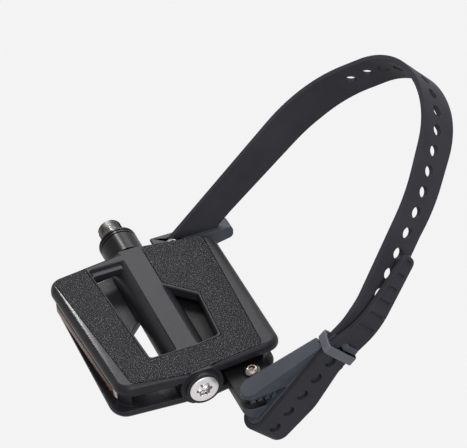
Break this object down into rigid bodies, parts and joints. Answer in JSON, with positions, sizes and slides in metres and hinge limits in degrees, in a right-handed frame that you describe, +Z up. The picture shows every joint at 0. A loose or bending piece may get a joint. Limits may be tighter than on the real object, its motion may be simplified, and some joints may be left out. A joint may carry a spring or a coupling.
{
  "type": "heel strap pedal",
  "caption": "Left platform pedal with gritted treads, amber reflectors and a perforated rubber heel strap looped between clip holders on a cross plate; the body spins on a threaded spindle.",
  "frame": {"origin": "on the spindle axis at the shoulder face that seats on the crank", "axes": "+X towards the toe, +Y outboard along the spindle away from the crank, +Z up from the level tread"},
  "size_m": [0.2206, 0.1809, 0.1493],
  "materials": {
    "spindle_steel": "turned, oiled",
    "collar_black": "gloss",
    "seal_rubber": "matte",
    "bush_polymer": "matte",
    "bearing_steel": "ground",
    "nut_steel": "zinc plated",
    "cap_aluminium": "satin",
    "body_nylon": "fine moulded grain",
    "grip_sheet": "coarse grit",
    "reflector_amber": "clear gloss over prisms",
    "reflector_backing": "matte",
    "bracket_black": "satin powder coat",
    "screw_stainless": "bright",
    "holder_grey": "satin",
    "strap_rubber": "matte"
  },
  "bodies": {
    "spindle": {"spindle": "spindle_steel", "dust_collar": "collar_black", "bearing_inner_ring": "bearing_steel", "spindle_washer": "nut_steel", "spindle_nut": "nut_steel"},
    "pedal": {"lip_seal": "seal_rubber", "inboard_bush": "bush_polymer", "bearing_outer_ring": "bearing_steel", "bearing_balls": "bearing_steel", "end_cap": "cap_aluminium", "pedal_body": "body_nylon", "top_grip": "grip_sheet", "bottom_grip": "grip_sheet", "front_reflector": "reflector_amber", "rear_reflector": "reflector_amber", "front_reflector_back": "reflector_backing", "rear_reflector_back": "reflector_backing", "strap_bracket": "bracket_black", "outboard_screw": "screw_stainless", "inboard_screw": "screw_stainless", "outboard_nut": "screw_stainless", "inboard_nut": "screw_stainless", "outboard_holder": "holder_grey", "inboard_holder": "holder_grey", "strap_keeper": "holder_grey", "heel_strap": "strap_rubber"}
  },
  "joints": [
    {"name": "pedal_spin", "type": "hinge", "parent": "spindle", "child": "pedal", "pos_m": [0, 0, 0], "axis": [0, 1, 0], "continuous": true}
  ]
}
